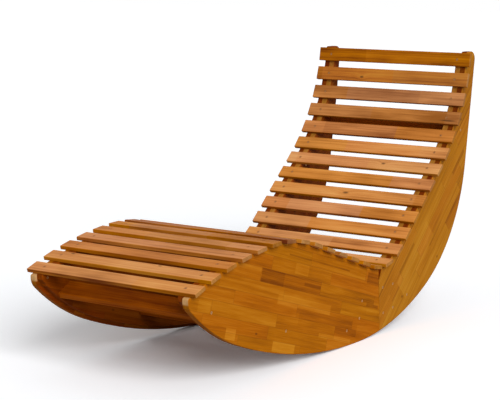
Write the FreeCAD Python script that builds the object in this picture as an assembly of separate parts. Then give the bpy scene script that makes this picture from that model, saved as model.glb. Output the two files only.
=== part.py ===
import FreeCAD
import Part
import math
import os

# Rocking chaise lounge in slatted hardwood, in millimetres.
# +Z is up, +Y runs from the leg end to the head, +X is the right side looking along +Y.
# The origin lies on the floor under the middle of the lounger.

# Slats
slatLength = 600.0
slatWidth = 46.6
slatThickness = 12.0
slatRound = 2.0
slatOverhang = 19.0
firstSlatRun = 29.3
legPitch = 74.2
legSlats = 15
dipPitch = 75.8
backPitch = 69.7
backSlats = 12
housingDepth = 0.6
housingPlay = 0.3

# Side boards, two layers on each side
outerThickness = 20.0
innerThickness = 20.0
outerRound = 3.0
innerRound = 2.0
rockerInset = 12.0
seamGap = 0.4

# Seat line under the slats, from the leg end to the head: length and radius of each run.
# A positive radius turns upward, a negative one downward and 0 is straight.
seatStart = (-1.5, -11.9)
seatHeading = 20.9
seatRuns = [
    (376.0, -1268.0),
    (241.0, -578.0),
    (344.0, 0.0),
    (202.7, 189.2),
    (340.0, 0.0),
]
# Above these runs the back curves on until a short way past the middle of the last slat
backRadius = 601.5
headReach = 23.1

# Rocker line on the floor side, from the nose to the straight back edge below the head
rockerStart = (-5.5, -20.8)
rockerHeading = -90.0
rockerRuns = [
    (34.4, 41.8),
    (251.0, 684.0),
    (670.0, 1753.0),
    (438.0, 935.0),
    (492.0, 521.0),
]
headFrontRadius = 6.0
headBackRadius = 27.0

# Seam between the two outer boards of a side, and the corner taken off above it
seamTop = (987.5, -60.0)
seamBottom = (1001.5, -320.0)
seamCornerFoot = (993.2, -136.0)
seamCornerTop = (1022.0, -80.0)

# Inner boards: front end, split between them and the edge away from the slats
innerNoseTop = (1.0, 20.0)
innerNoseBottom = (1.0, -25.0)
innerNoseFoot = (18.5, -41.0)
innerSplitPlace = 1066.0
innerSplitBend = (innerSplitPlace, -96.0)
innerSplitStep = (1118.0, -128.0)
innerSplitFoot = (1118.0, -320.0)
innerBackStart = (1118.4, -254.0)
innerBackLower = (1303.0, -178.0)
innerBackKnee = (1438.0, -32.0)
innerBackUpper = (1547.0, 236.0)
# Top corner of the inner back board, behind and above the middle of the last slat
innerEndBehind = 27.18
innerEndAbove = 18.34

# How near a point counts as lying on a face
faceTolerance = 0.001

# Cross rails: centre of the section, and turn of its wide face in degrees
railWidth = 60.0
railThickness = 18.0
railRound = 2.0
railCentres = {
    "rail_leg_end": (98.5, -69.0),
    "rail_leg_middle": (462.4, -193.3),
    "rail_seat_front": (801.5, -260.7),
    "rail_seat_back": (1176.7, -214.9),
    "rail_back": (1533.5, 291.5),
}
railTurns = {
    "rail_leg_end": 28.0,
    "rail_leg_middle": 12.0,
    "rail_seat_front": 0.0,
    "rail_seat_back": 15.0,
    "rail_back": 62.0,
}

# Screws: radius of the head, radius of the shank and full length
slatScrew = (4.0, 2.0, 29.0)
railScrew = (4.6, 2.5, 70.0)
seamScrew = (4.6, 2.5, 36.0)
boardScrew = (4.6, 2.5, 34.0)
headSink = 0.6
holePlay = 0.05
tipRadius = 0.2
tipSlope = 1.5
recessWidth = 0.9
recessDepth = 1.3
recessReach = 0.6
seamScrewSpots = [
    (876.3, -235.9),
    (892.1, -183.4),
    (1019.3, -163.4),
    (1024.7, -246.9),
    (1083.0, -162.3),
    (1085.7, -240.0),
]
boardScrewSpots = [(24.0, -22.0), (1376.0, 150.0)]

# Turn about the side axis that puts the centre of mass over the point of contact with the floor
restTurn = 0.5

outerFace = slatLength / 2 - slatOverhang
layerFace = outerFace - outerThickness
innerFace = layerFace - innerThickness
slatScrewX = (layerFace + innerFace) / 2


def sidePoint(spot, x=0.0):
    return FreeCAD.Vector(x, spot[0], spot[1])


def runEnd(point, heading, length, radius):
    # End point and heading after one run
    if radius == 0:
        endPoint = (point[0] + length * math.cos(heading), point[1] + length * math.sin(heading))
        return endPoint, heading
    turned = heading + length / radius
    endPoint = (
        point[0] + radius * (math.sin(turned) - math.sin(heading)),
        point[1] + radius * (math.cos(heading) - math.cos(turned)),
    )
    return endPoint, turned


def walk(start, headingDegrees, runs, inset=0.0):
    # Edges of a chain of runs, moved to its left by the inset, with its end point and heading
    heading = math.radians(headingDegrees)
    point = (start[0] - inset * math.sin(heading), start[1] + inset * math.cos(heading))
    edges = []
    for length, radius in runs:
        shownRadius = radius
        shownLength = length
        if radius != 0:
            shownRadius = radius - inset
            shownLength = length * shownRadius / radius
        middle, unused = runEnd(point, heading, shownLength / 2, shownRadius)
        endPoint, heading = runEnd(point, heading, shownLength, shownRadius)
        if radius == 0:
            edges.append(Part.makeLine(sidePoint(point), sidePoint(endPoint)))
        else:
            edges.append(arcThrough(point, middle, endPoint))
        point = endPoint
    return edges, point, heading


def arcThrough(first, middle, last):
    return Part.Arc(sidePoint(first), sidePoint(middle), sidePoint(last)).toShape()


def slatSteps():
    # Runs along the seat line from its start to the first slat and from each slat to the next
    return [firstSlatRun] + [legPitch] * (legSlats - 1) + [dipPitch] + [backPitch] * (backSlats - 1)


def seatLine():
    # Every run of the seat line, with the back as long as the slats need
    below = sum(length for length, radius in seatRuns)
    return seatRuns + [(sum(slatSteps()) + headReach - below, backRadius)]


def seatSpot(distance):
    # Point and heading on the seat line at a distance along it
    point = seatStart
    heading = math.radians(seatHeading)
    left = distance
    for length, radius in seatLine():
        if left <= length:
            return runEnd(point, heading, left, radius)
        point, heading = runEnd(point, heading, length, radius)
        left = left - length
    return runEnd(point, heading, left, 0)


def slatSpots():
    # Place and heading of the middle of every slat's underside
    spots = []
    distance = 0.0
    for step in slatSteps():
        distance = distance + step
        point, heading = seatSpot(distance)
        foot = (
            point[0] + housingDepth * math.sin(heading),
            point[1] - housingDepth * math.cos(heading),
        )
        spots.append((foot, heading))
    return spots


def put(shape, foot, heading):
    # Local Y turns to the heading and local Z to the normal of the seat
    placed = shape.copy()
    turn = FreeCAD.Rotation(FreeCAD.Vector(1, 0, 0), math.degrees(heading))
    placed.Placement = FreeCAD.Placement(sidePoint(foot), turn).multiply(shape.Placement)
    return placed


def screwBody(size):
    # Countersunk screw along -Z with the flat of its head at the origin
    headRadius, shankRadius, length = size
    headHeight = headRadius - shankRadius
    tipHeight = shankRadius * tipSlope
    head = Part.makeCone(shankRadius, headRadius, headHeight, FreeCAD.Vector(0, 0, -headHeight))
    shankLength = length - headHeight - tipHeight
    shank = Part.makeCylinder(shankRadius, shankLength, FreeCAD.Vector(0, 0, tipHeight - length))
    tip = Part.makeCone(tipRadius, shankRadius, tipHeight, FreeCAD.Vector(0, 0, -length))
    body = head.fuse([shank, tip]).removeSplitter()
    reach = headRadius * recessReach
    for long, wide in ((reach, recessWidth / 2), (recessWidth / 2, reach)):
        corner = FreeCAD.Vector(-long, -wide, -recessDepth)
        body = body.cut(Part.makeBox(2 * long, 2 * wide, 2 * recessDepth, corner))
    return body


def screwHole(size):
    # Cutter for a screw: sunk head, cone and shank with a little play
    headRadius, shankRadius, length = size
    headHeight = headRadius - shankRadius
    sink = Part.makeCylinder(headRadius, 2 * headSink)
    cone = Part.makeCone(shankRadius, headRadius, headHeight, FreeCAD.Vector(0, 0, -headHeight))
    depth = length + 2 * holePlay
    shank = Part.makeCylinder(shankRadius + holePlay, depth, FreeCAD.Vector(0, 0, -depth))
    return sink.fuse([cone, shank]).removeSplitter()


def aimed(shape, position, axis):
    # Shape with its local Z along the axis
    placed = shape.copy()
    turn = FreeCAD.Rotation(FreeCAD.Vector(0, 0, 1), axis)
    placed.Placement = FreeCAD.Placement(position, turn)
    return placed


def sideScrews(shape, spots, face, outward):
    # One copy per spot on each side, with its head sunk into the face
    found = []
    for side in (-1, 1):
        for spot in spots:
            position = sidePoint(spot, side * (face - headSink * outward))
            found.append(aimed(shape, position, FreeCAD.Vector(side * outward, 0, 0)))
    return found


def slatScrewPlaces(shape):
    # One copy at each end of every slat, with its head sunk into the top
    found = []
    for foot, heading in slatSpots():
        for side in (-1, 1):
            lifted = shape.copy()
            height = slatThickness - headSink
            lifted.Placement = FreeCAD.Placement(
                FreeCAD.Vector(side * slatScrewX, 0, height), FreeCAD.Rotation()
            )
            found.append(put(lifted, foot, heading))
    return found


def slatBlank():
    corner = FreeCAD.Vector(-slatLength / 2, -slatWidth / 2, 0)
    blank = Part.makeBox(slatLength, slatWidth, slatThickness, corner)
    blank = blank.makeFillet(slatRound, blank.Edges)
    cutter = screwHole(slatScrew)
    for side in (-1, 1):
        place = FreeCAD.Vector(side * slatScrewX, 0, slatThickness - headSink)
        blank = blank.cut(cutter.translated(place))
    return blank


def housingCutters():
    # Shallow housing in the side boards under every slat
    width = slatWidth + 2 * housingPlay
    corner = FreeCAD.Vector(-slatLength, -width / 2, 0)
    block = Part.makeBox(2 * slatLength, width, slatThickness, corner)
    return [put(block, foot, heading) for foot, heading in slatSpots()]


def sideFace():
    # Full outline of one side, from the seat line round the head to the rocker line
    seat, seatEnd, seatUp = walk(seatStart, seatHeading, seatLine())
    rocker, rockerEnd, rockerUp = walk(rockerStart, rockerHeading, rockerRuns)
    turn = seatUp * headFrontRadius
    front, frontEnd, unused = walk(seatEnd, math.degrees(seatUp), [(turn, -headFrontRadius)])
    rise = frontEnd[1] - rockerEnd[1] - headBackRadius * (1 + math.cos(rockerUp))
    backRuns = [(rise / math.sin(rockerUp), 0), ((math.pi - rockerUp) * headBackRadius, headBackRadius)]
    back, backEnd, unused = walk(rockerEnd, math.degrees(rockerUp), backRuns)
    lift = math.radians(seatHeading)
    noseRadius = (seatStart[0] - rockerStart[0]) / (1 - math.sin(lift))
    noseBase = (rockerStart[0], seatStart[1] - noseRadius * math.cos(lift))
    noseTurn = (math.pi / 2 - lift) * noseRadius
    nose, noseEnd, unused = walk(noseBase, 90.0, [(noseTurn, -noseRadius)])
    edges = seat + rocker + front + back
    edges.append(Part.makeLine(sidePoint(frontEnd), sidePoint(backEnd)))
    edges.append(Part.makeLine(sidePoint(rockerStart), sidePoint(noseBase)))
    edges.extend(nose)
    return Part.Face(Part.Wire(Part.__sortEdges__(edges)))


def sideLimits(face):
    # Box a board's thickness outside a side, where the outlines that part its boards close
    limits = face.BoundBox
    limits.enlarge(outerThickness)
    return limits


def polygonFace(points):
    corners = [sidePoint(spot) for spot in points]
    return Part.Face(Part.makePolygon(corners + corners[:1]))


def layer(face, start, thickness):
    # Board cut from a face, from the start outward along X
    return face.translated(FreeCAD.Vector(start, 0, 0)).extrude(FreeCAD.Vector(thickness, 0, 0))


def frontOuterFace():
    side = sideFace()
    limits = sideLimits(side)
    region = polygonFace(
        [
            (limits.YMin, limits.ZMax),
            (seamTop[0], limits.ZMax),
            seamTop,
            seamBottom,
            (limits.YMin, seamBottom[1]),
        ]
    )
    return side.common(region).Faces[0]


def rearOuterFace():
    side = sideFace()
    limits = sideLimits(side)
    region = polygonFace(
        [
            (seamCornerTop[0] + seamGap, limits.ZMax),
            (seamCornerTop[0] + seamGap, seamCornerTop[1]),
            (seamCornerFoot[0] + seamGap, seamCornerFoot[1]),
            (seamBottom[0] + seamGap, seamBottom[1]),
            (limits.YMax, seamBottom[1]),
            (limits.YMax, limits.ZMax),
        ]
    )
    return side.common(region).Faces[0]


def frontInnerFace():
    side = sideFace()
    limits = sideLimits(side)
    lower, lowerEnd, unused = walk(rockerStart, rockerHeading, rockerRuns, rockerInset)
    edges = list(lower)
    above = (lowerEnd[0], limits.ZMax)
    start = lower[0].Vertexes[0].Point
    beside = (start.y, limits.ZMax)
    edges.append(Part.makeLine(sidePoint(lowerEnd), sidePoint(above)))
    edges.append(Part.makeLine(sidePoint(above), sidePoint(beside)))
    edges.append(Part.makeLine(sidePoint(beside), start))
    aboveRocker = Part.Face(Part.Wire(Part.__sortEdges__(edges)))
    region = polygonFace(
        [
            (innerNoseTop[0], limits.ZMax),
            (innerSplitPlace, limits.ZMax),
            innerSplitBend,
            innerSplitStep,
            innerSplitFoot,
            (innerNoseFoot[0], innerSplitFoot[1]),
            innerNoseFoot,
            innerNoseBottom,
        ]
    )
    overFoot = (innerNoseFoot[0], innerNoseTop[1])
    nose = polygonFace([innerNoseTop, innerNoseBottom, innerNoseFoot, overFoot])
    allowed = aboveRocker.fuse(nose).removeSplitter().Faces[0]
    return side.common(region).common(allowed).Faces[0]


def rearInnerFace():
    lastFoot, unused = slatSpots()[-1]
    innerBackEnd = (lastFoot[0] + innerEndBehind, lastFoot[1] + innerEndAbove)
    edges = [
        arcThrough(innerBackStart, innerBackLower, innerBackKnee),
        arcThrough(innerBackKnee, innerBackUpper, innerBackEnd),
    ]
    outline = [
        innerBackEnd,
        (innerSplitPlace + seamGap, innerBackEnd[1]),
        (innerSplitBend[0] + seamGap, innerSplitBend[1] + seamGap),
        (innerSplitStep[0] + seamGap, innerSplitStep[1] + seamGap),
        innerBackStart,
    ]
    for first, last in zip(outline, outline[1:]):
        edges.append(Part.makeLine(sidePoint(first), sidePoint(last)))
    region = Part.Face(Part.Wire(Part.__sortEdges__(edges)))
    return sideFace().common(region).Faces[0]


def rounded(board, faceX, radius, kept):
    # Rounded rim on the face at faceX, without the edges that meet another board
    rim = []
    for edge in board.Edges:
        ends = [vertex.Point for vertex in edge.Vertexes]
        onFace = all(abs(end.x - faceX) < faceTolerance for end in ends)
        if onFace and not kept(edge.CenterOfMass):
            rim.append(edge)
    return board.makeFillet(radius, rim)


def besideSeam(point):
    return point.z < seamTop[1] and seamTop[0] < point.y < seamCornerTop[0]


def besideSplit(point):
    return point.z < innerSplitBend[1] and innerSplitPlace < point.y < innerBackStart[0]


def outerBoard(face, side):
    board = layer(face, layerFace, outerThickness)
    board = rounded(board, outerFace, outerRound, besideSeam)
    return board if side > 0 else board.mirror(FreeCAD.Vector(0, 0, 0), FreeCAD.Vector(1, 0, 0))


def innerBoard(face, side):
    board = layer(face, innerFace, innerThickness)
    board = rounded(board, innerFace, innerRound, besideSplit)
    return board if side > 0 else board.mirror(FreeCAD.Vector(0, 0, 0), FreeCAD.Vector(1, 0, 0))


def railBody(centre, lean):
    length = 2 * innerFace
    corner = FreeCAD.Vector(-length / 2, -railWidth / 2, -railThickness / 2)
    body = Part.makeBox(length, railWidth, railThickness, corner)
    longEdges = [edge for edge in body.Edges if edge.Length > length / 2]
    body = body.makeFillet(railRound, longEdges)
    return put(body, centre, math.radians(lean))


def cutAll(shape, cutters):
    return shape.cut(cutters).removeSplitter() if cutters else shape


def near(shape, cutters):
    # Cutters whose box meets the shape's box
    return [cutter for cutter in cutters if cutter.BoundBox.intersect(shape.BoundBox)]


def build():
    nodes = {}
    blank = slatBlank()
    for number, spot in enumerate(slatSpots(), 1):
        nodes["slat_%02d" % number] = put(blank, spot[0], spot[1])

    railSpots = list(railCentres.values())
    railHoles = sideScrews(screwHole(railScrew), railSpots, outerFace, 1)
    seamHoles = sideScrews(screwHole(seamScrew), seamScrewSpots, outerFace, 1)
    boardHoles = sideScrews(screwHole(boardScrew), boardScrewSpots, innerFace, -1)
    slatHoles = slatScrewPlaces(screwHole(slatScrew))
    housings = housingCutters()

    for sideName, side in (("left", -1), ("right", 1)):
        boards = {
            "side_outer_leg_" + sideName: outerBoard(frontOuterFace(), side),
            "side_outer_back_" + sideName: outerBoard(rearOuterFace(), side),
            "side_inner_leg_" + sideName: innerBoard(frontInnerFace(), side),
            "side_inner_back_" + sideName: innerBoard(rearInnerFace(), side),
        }
        for name, board in boards.items():
            cutters = near(board, housings + railHoles + seamHoles + boardHoles)
            if "inner" in name:
                cutters = cutters + near(board, slatHoles)
            nodes[name] = cutAll(board, cutters)

    for name, centre in railCentres.items():
        body = railBody(centre, railTurns[name])
        nodes[name] = cutAll(body, near(body, railHoles))

    nodes["slat_screws"] = Part.makeCompound(slatScrewPlaces(screwBody(slatScrew)))
    nodes["rail_screws"] = Part.makeCompound(
        sideScrews(screwBody(railScrew), railSpots, outerFace, 1)
    )
    nodes["seam_screws"] = Part.makeCompound(
        sideScrews(screwBody(seamScrew), seamScrewSpots, outerFace, 1)
    )
    nodes["board_screws"] = Part.makeCompound(
        sideScrews(screwBody(boardScrew), boardScrewSpots, innerFace, -1)
    )
    return nodes


def settled(nodes):
    # Rest position: turned about X, lowest point on the floor, middle of the length at the origin
    turn = FreeCAD.Placement(
        FreeCAD.Vector(0, 0, 0), FreeCAD.Rotation(FreeCAD.Vector(1, 0, 0), restTurn)
    )
    turned = {}
    for name, shape in nodes.items():
        moved = shape.copy()
        moved.Placement = turn.multiply(shape.Placement)
        turned[name] = moved
    box = FreeCAD.BoundBox()
    for shape in turned.values():
        box.add(shape.optimalBoundingBox(False, False))
    shift = FreeCAD.Vector(0, -(box.YMin + box.YMax) / 2, -box.ZMin)
    for shape in turned.values():
        shape.translate(shift)
    return turned


os.makedirs("parts", exist_ok=True)
finished = settled(build())
for nodeName, nodeShape in finished.items():
    nodeShape.exportStep("parts/" + nodeName + ".step")
print(len(finished), "nodes written")
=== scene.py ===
import math

import bmesh
import bpy
from mathutils import Matrix, Vector


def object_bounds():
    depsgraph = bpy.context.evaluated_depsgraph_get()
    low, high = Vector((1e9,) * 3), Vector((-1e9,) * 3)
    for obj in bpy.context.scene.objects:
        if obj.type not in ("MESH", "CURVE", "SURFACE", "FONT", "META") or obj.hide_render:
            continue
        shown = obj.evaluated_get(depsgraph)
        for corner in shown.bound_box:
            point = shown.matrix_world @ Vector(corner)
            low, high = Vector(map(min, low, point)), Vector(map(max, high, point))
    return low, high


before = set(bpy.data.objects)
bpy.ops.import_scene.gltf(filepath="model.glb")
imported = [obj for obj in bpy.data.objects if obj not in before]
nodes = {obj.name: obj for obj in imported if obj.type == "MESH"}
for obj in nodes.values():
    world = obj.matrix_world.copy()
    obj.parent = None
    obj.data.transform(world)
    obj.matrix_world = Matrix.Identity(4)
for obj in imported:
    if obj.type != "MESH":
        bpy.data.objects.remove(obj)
cadLow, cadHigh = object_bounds()
print("frame loaded,", len(nodes), "nodes")


def linearColour(hexColour):
    # sRGB hex to the linear colour that a shader takes
    def toLinear(part):
        value = int(part, 16) / 255
        return value / 12.92 if value <= 0.04045 else ((value + 0.055) / 1.055) ** 2.4
    return [toLinear(hexColour[i:i + 2]) for i in (0, 2, 4)] + [1.0]


def addNode(tree, kind, inputs=None, **settings):
    # One shader node with its settings, values and links; a node given as a value links its first output
    node = tree.nodes.new("ShaderNode" + kind)
    for name, value in settings.items():
        setattr(node, name, value)
    for name, value in (inputs or {}).items():
        if isinstance(value, bpy.types.Node):
            value = value.outputs[0]
        if isinstance(value, bpy.types.NodeSocket):
            tree.links.new(value, node.inputs[name])
        else:
            node.inputs[name].default_value = value
    return node


def newMaterial(name):
    # Empty material with its output, ready for a surface
    material = bpy.data.materials.new(name)
    material.use_nodes = True
    material.node_tree.nodes.clear()
    return material, addNode(material.node_tree, "OutputMaterial")


def dress(node, material):
    # Gives every slot of a CAD node the same material
    for slot in node.material_slots:
        slot.material = material


def pieceFrame(node):
    # Frame of a straight piece that runs along X: its middle and its lean about X
    points = [(v.co.y, v.co.z) for v in node.data.vertices]
    midY = sum(p[0] for p in points) / len(points)
    midZ = sum(p[1] for p in points) / len(points)
    spreadY = sum((p[0] - midY) ** 2 for p in points)
    spreadZ = sum((p[1] - midZ) ** 2 for p in points)
    shared = sum((p[0] - midY) * (p[1] - midZ) for p in points)
    turn = Matrix.Rotation(0.5 * math.atan2(2 * shared, spreadY - spreadZ), 4, "X")
    local = [turn.inverted() @ v.co for v in node.data.vertices]
    middle = Vector([(min(p[i] for p in local) + max(p[i] for p in local)) / 2 for i in range(3)])
    return turn @ Matrix.Translation(middle)


def ownPlace(tree, placement):
    # Object coordinates turned and centred into a piece's own frame, in millimetres
    shift, turn, size = (Matrix.Scale(1000.0, 4) @ placement.inverted()).decompose()
    coords = addNode(tree, "TexCoord")
    return addNode(tree, "Mapping", {"Vector": coords.outputs["Object"], "Location": shift,
                                     "Rotation": turn.to_euler(), "Scale": size})


# Acacia: straight to wavy grain, broad streaks of light sapwood and dark heartwood, open pores
acacia = {
    "ringMm": 8.0,       # growth rings are 2 to 5 mm wide; 8 shows from across a room
    "streakMm": 16.0,    # width of the light and dark streaks
    "fibreMm": 1.5,      # fibre bundles, drawn about four times as coarse as real ones
    "cloudMm": 75.0,     # slow changes of tone along a piece
    "ringShare": 0.07,   # how much each layer changes the tone
    "streakShare": 0.65,
    "fibreShare": 0.45,
    "cloudShare": 0.7,
    "reliefMm": 0.25,    # depth of the open pores
    "roughLow": 0.55,
    "roughHigh": 0.72,
    "indexOfOil": 1.5,
}
# The boards were sanded smooth across the staves, so their figure is calmer
calmAcacia = dict(acacia, streakShare=0.5, cloudShare=0.35)


def woodFigure(tree, place, tone, seed, look=acacia):
    # Tone of the wood from 0, dark, to 1, light, and its relief; X of the place runs along the grain
    spot = addNode(tree, "VectorMath", {0: place, 1: (317.0 * seed, 53.0 * seed, 71.0 * seed)}, operation="ADD")
    log = addNode(tree, "VectorMath", {0: place, 1: (41.0 * seed, 24.0 + 7.0 * (seed % 4), 16.0 + 5.0 * (seed % 3))},
                  operation="ADD")
    layers = {"ring": (log, 0.05), "streak": (spot, 0.035), "fibre": (spot, 0.02), "cloud": (spot, 0.35)}
    found = {}
    for name, (source, stretch) in layers.items():
        long = addNode(tree, "VectorMath", {0: source, 1: (stretch, 1.0, 1.0)}, operation="MULTIPLY")
        if name == "ring":
            # A ring texture has one ring per 0.314 units
            found[name] = addNode(tree, "TexWave", {
                "Vector": long, "Scale": 0.314 / look["ringMm"], "Distortion": 4.0,
                "Detail": 2.0, "Detail Scale": 0.8,
            }, wave_type="RINGS", rings_direction="X").outputs["Fac"]
        else:
            found[name] = addNode(tree, "TexNoise", {
                "Vector": long, "Scale": 1.0 / look[name + "Mm"], "Detail": 2.0, "Roughness": 0.55,
            }).outputs["Fac"]
    value = tone
    for name in layers:
        centred = addNode(tree, "Math", {0: found[name], 1: 0.5}, operation="SUBTRACT")
        value = addNode(tree, "Math", {0: centred, 1: look[name + "Share"], 2: value}, operation="MULTIPLY_ADD")
    return value, found["fibre"]


def woodRamp(tree, value, colours):
    # Dark, base and light colour of one finish along the tone
    ramp = addNode(tree, "ValToRGB", {"Fac": value})
    steps = ramp.color_ramp.elements
    steps[0].position, steps[0].color = 0.1, linearColour(colours["dark"])
    steps[1].position, steps[1].color = 0.9, linearColour(colours["light"])
    steps.new(0.5).color = linearColour(colours["base"])
    return ramp


def woodSurface(tree, output, colour, fibre, sheen, look=acacia):
    # Oiled surface, a little rougher where the pores are open
    bump = addNode(tree, "Bump", {"Strength": 0.6, "Distance": look["reliefMm"] / 1000, "Height": fibre})
    rough = addNode(tree, "MapRange", {"Value": fibre, "From Min": 0.3, "From Max": 0.7,
                                       "To Min": look["roughHigh"], "To Max": look["roughLow"]})
    shader = addNode(tree, "BsdfPrincipled", {
        "Base Color": colour,
        "Roughness": rough,
        "IOR": look["indexOfOil"],
        "Specular IOR Level": sheen,
        "Normal": bump,
    })
    tree.links.new(shader.outputs[0], output.inputs["Surface"])


slats = {
    "count": 27,
    "halfLength": 300.0,
    "halfWidth": 23.3,
    "screwX": 251.0,
    "holeShadeRadius": 5.6,   # ring of painted shade round a screw head, for its sunk hole
    "holeShadeShare": 0.22,
    # colour of the painted shade round the screw heads, and of the knots
    "holeShadeAndKnotColour": "4A2E18",
    "blockMm": 290.0,     # finger-jointed lengths
    "sheen": 0.06,
    # The top colours are paler than the edge colours: a painted sheen on the tops
    "topColours": {"dark": "905526", "base": "C88347", "light": "E0A562"},
    "edgeColours": {"dark": "6A2C00", "base": "B26800", "light": "C8881A"},
    "endColours": {"dark": "7C4A20", "base": "9C6830", "light": "B88448"},
    # Tone of each slat; slats 4 to 7 are also darkened as painted shade, to damp the white reflection their tops
    # show at a grazing view
    "tones": {1: 0.04, 2: 0.07, 3: -0.1, 4: -0.05, 5: -0.08, 6: -0.16, 7: -0.28, 17: -0.04, 18: -0.05, 19: -0.09,
              20: -0.12, 21: 0.03, 22: -0.03, 23: -0.15, 24: -0.21, 25: -0.23, 26: -0.05, 27: -0.1},
    "edgeTones": {1: -0.3},
    "golden": (26, 27),   # slats whose top is as deep in colour as the edges
    # Knots: slat, place along and across, half length and half width
    "knots": [(2, -218, 16, 9, 4), (2, 97, 17, 8, 3.5), (19, -1, 1, 13, 5.5), (21, 83, 3, 9, 5),
              (26, -113, -8, 9, 5), (24, 258, -11, 34, 4)],
}


def slatMaterial(number):
    # Acacia slat, sanded and oiled: warm brown top painted paler than the arrises, a painted sheen; rough sawn ends
    material, output = newMaterial("oiledAcaciaSlat%02d" % number)
    tree = material.node_tree
    place = ownPlace(tree, pieceFrame(nodes["slat_%02d" % number]))
    parts = addNode(tree, "SeparateXYZ", {0: place}).outputs
    awayX = addNode(tree, "Math", {0: parts[0]}, operation="ABSOLUTE")
    awayY = addNode(tree, "Math", {0: parts[1]}, operation="ABSOLUTE")
    atEdge = addNode(tree, "MapRange", {"Value": awayY, "From Min": slats["halfWidth"] - 1.8,
                                        "From Max": slats["halfWidth"] - 0.3}, interpolation_type="SMOOTHSTEP")
    atEnd = addNode(tree, "MapRange", {"Value": awayX, "From Min": slats["halfLength"] - 1.6,
                                       "From Max": slats["halfLength"] - 0.4}, interpolation_type="SMOOTHSTEP")

    # The grain bends round each knot
    bent = place
    knotMask = 0.0
    for knot in [k for k in slats["knots"] if k[0] == number]:
        away = addNode(tree, "VectorMath", {0: place, 1: (knot[1], knot[2], 0)}, operation="SUBTRACT")
        away = addNode(tree, "VectorMath", {0: away, 1: (1 / knot[3], 1 / knot[4], 0)}, operation="MULTIPLY")
        reach = addNode(tree, "VectorMath", {0: away}, operation="LENGTH").outputs["Value"]
        inside = addNode(tree, "MapRange", {"Value": reach, "From Min": 1.2, "From Max": 0.3},
                         interpolation_type="SMOOTHSTEP")
        near = addNode(tree, "MapRange", {"Value": reach, "From Min": 4.0, "From Max": 0.6, "To Max": 7.0},
                       interpolation_type="SMOOTHSTEP")
        push = addNode(tree, "CombineXYZ", {1: near})
        bent = addNode(tree, "VectorMath", {0: bent, 1: push}, operation="ADD")
        knotMask = addNode(tree, "Math", {0: knotMask, 1: inside}, operation="MAXIMUM")

    blocks = addNode(tree, "Math", {0: parts[0], 1: 1 / slats["blockMm"], 2: 7.3 + 0.41 * number},
                     operation="MULTIPLY_ADD")
    block = addNode(tree, "Math", {0: blocks}, operation="FLOOR")
    cell = addNode(tree, "Math", {0: block, 1: 31.7 * number})
    draw = addNode(tree, "TexWhiteNoise", {"W": cell}, noise_dimensions="1D")
    drawn = addNode(tree, "SeparateColor", {0: draw.outputs["Color"]}).outputs
    own = 0.5 + slats["tones"].get(number, 0.0)
    tone = addNode(tree, "Math", {0: drawn[0], 1: 0.1, 2: own - 0.05}, operation="MULTIPLY_ADD")
    value, fibre = woodFigure(tree, bent, tone, number)
    top = woodRamp(tree, value, slats["topColours"])
    edgeValue = addNode(tree, "Math", {0: value, 1: slats["edgeTones"].get(number, 0.0)}, operation="ADD")
    edge = woodRamp(tree, edgeValue, slats["edgeColours"])
    end = woodRamp(tree, value, slats["endColours"])
    if number in slats["golden"]:
        atEdge = addNode(tree, "Math", {0: atEdge, 1: 0.95}, operation="MAXIMUM")
    # Painted sheen: the top takes the paler colours, the arrises the deeper ones
    colour = addNode(tree, "MixRGB", {"Fac": atEdge, "Color1": top, "Color2": edge})
    colour = addNode(tree, "MixRGB", {"Fac": atEnd, "Color1": colour, "Color2": end})

    # Each block of wood is a little rosier or yellower than the next
    hue = addNode(tree, "Math", {0: drawn[1], 1: 0.007, 2: 0.4965}, operation="MULTIPLY_ADD")
    depth = addNode(tree, "Math", {0: drawn[2], 1: 0.1, 2: 0.95}, operation="MULTIPLY_ADD")
    colour = addNode(tree, "HueSaturation", {"Hue": hue, "Saturation": depth, "Color": colour})

    # Painted shade in a ring round each screw head, for its sunk hole; the knots are darker wood
    fromScrew = addNode(tree, "Math", {0: awayX, 1: slats["screwX"]}, operation="SUBTRACT")
    spot = addNode(tree, "CombineXYZ", {0: fromScrew, 1: parts[1]})
    reach = addNode(tree, "VectorMath", {0: spot}, operation="LENGTH").outputs["Value"]
    holeShade = addNode(tree, "MapRange", {"Value": reach, "From Min": slats["holeShadeRadius"] + 1.2,
                                       "From Max": slats["holeShadeRadius"] - 1.2, "To Max": slats["holeShadeShare"]},
                    interpolation_type="SMOOTHSTEP")
    knotted = addNode(tree, "Math", {0: knotMask, 1: 0.75}, operation="MULTIPLY")
    dark = addNode(tree, "Math", {0: holeShade, 1: knotted}, operation="MAXIMUM")
    colour = addNode(tree, "MixRGB", {"Fac": dark, "Color1": colour, "Color2": linearColour(slats["holeShadeAndKnotColour"])})
    woodSurface(tree, output, colour, fibre, slats["sheen"])
    return material


for number in range(1, slats["count"] + 1):
    dress(nodes["slat_%02d" % number], slatMaterial(number))
print("slats dressed")

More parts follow.
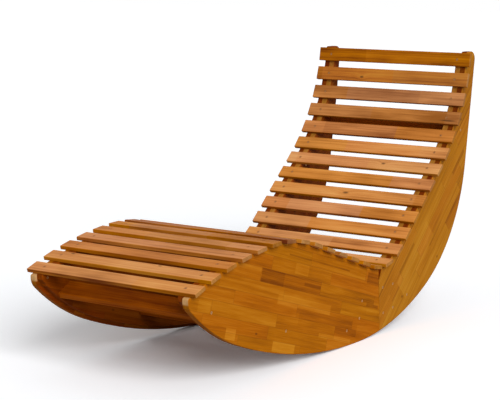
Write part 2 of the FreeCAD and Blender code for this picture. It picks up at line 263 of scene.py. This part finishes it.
boards = {
    "outerFace": 281.0,   # faces that show, from the middle of the lounger
    "innerFace": 241.0,
    "thickness": 20.0,
    "sheen": 0.05,
    "glueColour": "4A2408",
    "colours": {
        "outer_leg": {"dark": "643000", "base": "A15B00", "light": "BE7C1C"},
        "outer_back": {"dark": "68360A", "base": "A0620E", "light": "BA8028"},
        # Inner layer and faces turned to the inside: darker colours, painted shade of the inside of the lounger
        "inner": {"dark": "3E1400", "base": "7C3600", "light": "A05810"},
    },
    "rimColours": {
        "outer_leg": {"dark": "602C00", "base": "985600", "light": "B47414"},
        "outer_back": {"dark": "401400", "base": "6E2C00", "light": "94520C"},
        # The inner leg board's edges are as dark, also painted shade
        "inner_leg": {"dark": "3E1400", "base": "7C3600", "light": "A05810"},
        "inner_back": {"dark": "6A3808", "base": "9C6420", "light": "B8843C"},
    },
    "noseDepth": 0.008,   # pale end grain: metres back from the foremost point of the side
    "noseLow": 0.273,     # and lowest height
    "noseColours": {"dark": "946C40", "base": "BC8E5C", "light": "D4B080"},
    "leg": {
        "lean": -17.5, "staveMm": 39.5, "staveStart": -1.5, "blockMm": 330.0,
        # Blocks that stand out: along from, along to, across from, across to, tone
        "blocks": [
            (322, 443, 77.5, 117.0, 0.25), (443, 650, 77.5, 117.0, 0.34), (555, 648, 95.0, 106.0, 0.22),
            (493, 567, 123.0, 156.0, 0.62), (449, 800, 171.0, 176.0, 0.28), (427, 725, 27.0, 56.0, 0.65),
            (555, 900, -22.0, 17.0, 0.4), (682, 872, -44.0, -31.0, 0.68), (196, 245, -100.0, -68.0, 0.76),
            (440, 560, -110.0, -80.0, 0.76), (47, 104, -41.0, -8.0, 0.6), (942, 1010, 55.0, 77.5, 0.52),
            (935, 1010, 80.0, 90.0, 0.25), (915, 1010, 150.0, 185.0, 0.32),
        ],
        "knots": [(347, -69, 7, 4)],
    },
    "back": {
        "lean": 43.0, "staveMm": 42.0, "staveStart": -818.0, "blockMm": 380.0,
        "blocks": [
            (560, 1500, -820.5, -815.5, 0.3), (645, 857, -874.0, -864.0, 0.35), (640, 800, -900.0, -894.0, 0.33),
            (918, 1242, -963.0, -957.0, 0.33), (1184, 1290, -910.0, -896.0, 0.33), (700, 960, -957.0, -878.0, 0.62),
        ],
        "knots": [(690, -938, 6, 5), (927, -1029, 6, 5), (1345, -806, 6, 5)],
    },
}

# The staves were measured from the nose of the side, before the lounger was turned to its rest
staveOrigin = Matrix.Translation((0.0, -0.80954, 0.30302)) @ Matrix.Rotation(math.radians(0.5), 4, "X")


def boardMaterial(node, part, seed, layer):
    # Board glued up from oiled acacia staves that lean in its plane, each of lengths butted end to end
    look = boards[part]
    material, output = newMaterial("oiledAcaciaStaves_" + node.name)
    tree = material.node_tree
    # Staves run along the own X, lie side by side along Y and the board's thickness is Z
    lean = math.radians(look["lean"])
    along = Vector((0.0, math.cos(lean), math.sin(lean)))
    across = Vector((0.0, -math.sin(lean), math.cos(lean)))
    outward = Vector((1.0, 0.0, 0.0))
    placement = staveOrigin @ Matrix((along, across, outward)).transposed().to_4x4()
    place = ownPlace(tree, placement)
    parts = addNode(tree, "SeparateXYZ", {0: place}).outputs
    rows = addNode(tree, "Math", {0: parts[1], 1: look["staveStart"]}, operation="SUBTRACT")
    rows = addNode(tree, "Math", {0: rows, 1: look["staveMm"]}, operation="DIVIDE")
    row = addNode(tree, "Math", {0: rows}, operation="FLOOR")
    rowCell = addNode(tree, "Math", {0: row, 1: seed * 17.0})
    rowDraw = addNode(tree, "TexWhiteNoise", {"W": rowCell}, noise_dimensions="1D").outputs["Value"]
    start = addNode(tree, "Math", {0: rowDraw, 1: 9.0}, operation="MULTIPLY")
    blocks = addNode(tree, "Math", {0: parts[0], 1: 1 / look["blockMm"], 2: start}, operation="MULTIPLY_ADD")
    block = addNode(tree, "Math", {0: blocks}, operation="FLOOR")
    cell = addNode(tree, "CombineXYZ", {0: row, 1: block, 2: float(seed)})
    draw = addNode(tree, "TexWhiteNoise", {"Vector": cell}, noise_dimensions="3D")
    drawn = addNode(tree, "SeparateColor", {0: draw.outputs["Color"]}).outputs
    value = addNode(tree, "Math", {0: drawn[0], 1: 0.08, 2: 0.46}, operation="MULTIPLY_ADD")
    if layer == "outer":
        for low, high, bottom, crown, own in look["blocks"]:
            middle = ((low + high) / 2, (bottom + crown) / 2, 0)
            away = addNode(tree, "VectorMath", {0: place, 1: middle}, operation="SUBTRACT")
            away = addNode(tree, "VectorMath", {0: away, 1: (2 / (high - low), 2 / (crown - bottom), 0)},
                           operation="MULTIPLY")
            away = addNode(tree, "VectorMath", {0: away}, operation="ABSOLUTE")
            sides = addNode(tree, "SeparateXYZ", {0: away}).outputs
            reach = addNode(tree, "Math", {0: sides[0], 1: sides[1]}, operation="MAXIMUM")
            inside = addNode(tree, "Math", {0: reach, 1: 1.0}, operation="LESS_THAN")
            change = addNode(tree, "Math", {0: own, 1: value}, operation="SUBTRACT")
            value = addNode(tree, "Math", {0: change, 1: inside, 2: value}, operation="MULTIPLY_ADD")
    shift = addNode(tree, "VectorMath", {0: draw.outputs["Color"], 1: (900.0, 60.0, 60.0)}, operation="MULTIPLY")
    spot = addNode(tree, "VectorMath", {0: place, 1: shift}, operation="ADD")
    value, fibre = woodFigure(tree, spot, value, seed, calmAcacia)
    face = woodRamp(tree, value, boards["colours"].get(layer + "_" + part, boards["colours"]["inner"]))
    rim = woodRamp(tree, value, boards["rimColours"][layer + "_" + part])
    awayX = addNode(tree, "Math", {0: parts[2]}, operation="ABSOLUTE")
    showing = boards["outerFace"] if layer == "outer" else boards["innerFace"]
    inwards = addNode(tree, "Math", {0: awayX, 1: showing}, operation="SUBTRACT")
    inwards = addNode(tree, "Math", {0: inwards}, operation="ABSOLUTE")
    atRim = addNode(tree, "MapRange", {"Value": inwards, "From Min": 0.6, "From Max": 2.4},
                    interpolation_type="SMOOTHSTEP")
    colour = addNode(tree, "MixRGB", {"Fac": atRim, "Color1": face, "Color2": rim})
    if layer == "outer":
        # The faces turned to the inside take the darker inner colours: painted shade of the inside of the lounger
        atBack = addNode(tree, "Math", {0: inwards, 1: boards["thickness"] - 1.0}, operation="GREATER_THAN")
        hidden = woodRamp(tree, value, boards["colours"]["inner"])
        colour = addNode(tree, "MixRGB", {"Fac": atBack, "Color1": colour, "Color2": hidden})
    if layer + "_" + part == "outer_leg":
        # The sawn end at the nose took little oil
        coords = addNode(tree, "TexCoord")
        own = addNode(tree, "SeparateXYZ", {0: coords.outputs["Object"]}).outputs
        fromNose = addNode(tree, "Math", {0: own[1], 1: cadLow[1]}, operation="SUBTRACT")
        atNose = addNode(tree, "MapRange", {"Value": fromNose, "From Min": boards["noseDepth"] * 1.3,
                                            "From Max": boards["noseDepth"] * 0.7})
        atNose = addNode(tree, "Math", {0: atNose, 1: atRim}, operation="MULTIPLY")
        aboveSole = addNode(tree, "MapRange", {"Value": own[2], "From Min": boards["noseLow"] - 0.003,
                                               "From Max": boards["noseLow"] + 0.003})
        atNose = addNode(tree, "Math", {0: atNose, 1: aboveSole}, operation="MULTIPLY")
        sawn = woodRamp(tree, value, boards["noseColours"])
        colour = addNode(tree, "MixRGB", {"Fac": atNose, "Color1": colour, "Color2": sawn})
    hue = addNode(tree, "Math", {0: drawn[1], 1: 0.008, 2: 0.496}, operation="MULTIPLY_ADD")
    colour = addNode(tree, "HueSaturation", {"Hue": hue, "Color": colour})

    # Thin dark glue lines between the staves and at the butted ends
    rowGap = addNode(tree, "Math", {0: rows, 1: 0.5}, operation="PINGPONG")
    rowGap = addNode(tree, "Math", {0: rowGap, 1: look["staveMm"]}, operation="MULTIPLY")
    blockGap = addNode(tree, "Math", {0: blocks, 1: 0.5}, operation="PINGPONG")
    blockGap = addNode(tree, "Math", {0: blockGap, 1: look["blockMm"]}, operation="MULTIPLY")
    gap = addNode(tree, "Math", {0: rowGap, 1: blockGap}, operation="MINIMUM")
    dark = addNode(tree, "MapRange", {"Value": gap, "From Min": 1.0, "From Max": 0.3, "To Max": 0.35})
    for knot in look["knots"]:
        away = addNode(tree, "VectorMath", {0: place, 1: (knot[0], knot[1], 0)}, operation="SUBTRACT")
        away = addNode(tree, "VectorMath", {0: away, 1: (1 / knot[2], 1 / knot[3], 0)}, operation="MULTIPLY")
        reach = addNode(tree, "VectorMath", {0: away}, operation="LENGTH").outputs["Value"]
        inside = addNode(tree, "MapRange", {"Value": reach, "From Min": 1.2, "From Max": 0.3, "To Max": 0.7},
                         interpolation_type="SMOOTHSTEP")
        dark = addNode(tree, "Math", {0: dark, 1: inside}, operation="MAXIMUM")
    colour = addNode(tree, "MixRGB", {"Fac": dark, "Color1": colour, "Color2": linearColour(boards["glueColour"])})
    woodSurface(tree, output, colour, fibre, boards["sheen"])
    return material


seed = 0
for side in ("left", "right"):
    for layer in ("outer", "inner"):
        for part in ("leg", "back"):
            seed += 1
            node = nodes["side_%s_%s_%s" % (layer, part, side)]
            dress(node, boardMaterial(node, part, seed, layer))
print("side boards dressed")


rails = {
    "names": ("rail_leg_end", "rail_leg_middle", "rail_seat_front", "rail_seat_back", "rail_back"),
    "colours": {"dark": "601E00", "base": "A25000", "light": "C07414"},
}


def railMaterial(node, seed):
    # Plain oiled acacia rail, as dark as the inside of the lounger
    material, output = newMaterial("oiledAcaciaRail_" + node.name)
    tree = material.node_tree
    place = ownPlace(tree, pieceFrame(node))
    value, fibre = woodFigure(tree, place, 0.42, seed)
    colour = woodRamp(tree, value, rails["colours"])
    woodSurface(tree, output, colour, fibre, boards["sheen"])
    return material


for seed, name in enumerate(rails["names"]):
    dress(nodes[name], railMaterial(nodes[name], seed + 31))


def screwMaterial(name, hexColour, dustColour, roughness):
    # Yellow passivated steel screws: dull brassy metal with oil and dust in the recess
    material, output = newMaterial(name)
    tree = material.node_tree
    coords = addNode(tree, "TexCoord")
    # Specks of oil about 1 mm wide
    dirt = addNode(tree, "TexNoise", {"Vector": coords.outputs["Object"], "Scale": 900.0, "Detail": 2.0})
    rough = addNode(tree, "MapRange", {"Value": dirt, "To Min": roughness - 0.1, "To Max": roughness + 0.15})
    colour = addNode(tree, "MixRGB", {"Fac": dirt, "Color1": linearColour(hexColour),
                                      "Color2": linearColour(dustColour)})
    shader = addNode(tree, "BsdfPrincipled", {"Base Color": colour, "Metallic": 1.0, "Roughness": rough})
    tree.links.new(shader.outputs[0], output.inputs["Surface"])
    return material


# The screws in the slats are given a darker colour, as painted shade of the deep holes they sit in
dress(nodes["slat_screws"], screwMaterial("holeShadedSteelScrew", "C08A58", "8A5C34", 0.55))
for name in ("rail_screws", "seam_screws", "board_screws"):
    dress(nodes[name], screwMaterial("passivatedSteelScrew_" + name, "F0C890", "A87848", 0.5))
print("rails and screws dressed")

camera = {
    "place": (2.7252, -4.0510, 1.1734),
    "azimuth": 34.783,
    "elevation": 8.661,
    "roll": 0.289,
    "lens": 113.08,
}
cameraData = bpy.data.cameras.new("camera")
cameraData.lens = camera["lens"]
cameraData.sensor_width = 36.0
cameraObject = bpy.data.objects.new("camera", cameraData)
bpy.context.scene.collection.objects.link(cameraObject)
azimuth, elevation = math.radians(camera["azimuth"]), math.radians(camera["elevation"])
back = Vector((math.sin(azimuth) * math.cos(elevation), -math.cos(azimuth) * math.cos(elevation),
               math.sin(elevation)))
aim = (-back).to_track_quat("-Z", "Y").to_matrix().to_4x4() @ Matrix.Rotation(math.radians(camera["roll"]), 4, "Z")
cameraObject.matrix_world = Matrix.Translation(camera["place"]) @ aim
bpy.context.scene.camera = cameraObject

studio = {
    "floorReach": 30.0,
    "floorColour": (0.5, 0.5, 0.5, 1.0),      # what the object sees
    "floorShown": (1.17, 1.19, 1.22, 1.0),     # what the camera sees
    "skyStrength": 0.3,
    # Soft lamps: direction they shine from, strength and width in degrees
    "lamps": {
        "windowRight": ((0.749, -0.468, 0.469), 3.3, 40.0),
        "ceiling": ((0.0, 0.0, 1.0), 0.3, 100.0),
    },
}
sheet = bmesh.new()
bmesh.ops.create_grid(sheet, x_segments=1, y_segments=1, size=studio["floorReach"])
floorMesh = bpy.data.meshes.new("floor")
sheet.to_mesh(floorMesh)
sheet.free()
floor = bpy.data.objects.new("floor", floorMesh)
bpy.context.scene.collection.objects.link(floor)
floorMaterial, floorOutput = newMaterial("whitePaintedFloor")
tree = floorMaterial.node_tree
path = addNode(tree, "LightPath")
seen = addNode(tree, "Math", {0: path.outputs["Is Camera Ray"], 1: path.outputs["Is Transmission Ray"]},
               operation="MAXIMUM")
tint = addNode(tree, "MixRGB", {"Fac": seen, "Color1": studio["floorColour"], "Color2": studio["floorShown"]})
matt = addNode(tree, "BsdfDiffuse", {"Color": tint})
tree.links.new(matt.outputs[0], floorOutput.inputs["Surface"])
floorMesh.materials.append(floorMaterial)

world = bpy.data.worlds.new("studio")
world.use_nodes = True
bpy.context.scene.world = world
tree = world.node_tree
tree.nodes.clear()
path = addNode(tree, "LightPath")
shown = path.outputs["Is Camera Ray"]
for name in ("Is Glossy Ray", "Is Transmission Ray"):
    shown = addNode(tree, "Math", {0: shown, 1: path.outputs[name]}, operation="MAXIMUM")
strength = addNode(tree, "Math", {0: shown, 1: 1.0 - studio["skyStrength"], 2: studio["skyStrength"]},
                   operation="MULTIPLY_ADD")
sky = addNode(tree, "Background", {"Color": (1, 1, 1, 1), "Strength": strength})
addNode(tree, "OutputWorld", {"Surface": sky})

for name, (direction, power, width) in studio["lamps"].items():
    data = bpy.data.lights.new(name, "SUN")
    data.energy = power
    data.angle = math.radians(width)
    lampObject = bpy.data.objects.new(name, data)
    bpy.context.scene.collection.objects.link(lampObject)
    lampObject.matrix_world = Vector(direction).to_track_quat("Z", "Y").to_matrix().to_4x4()
bpy.context.scene.view_settings.view_transform = "Standard"
print("camera, floor and lamps set")
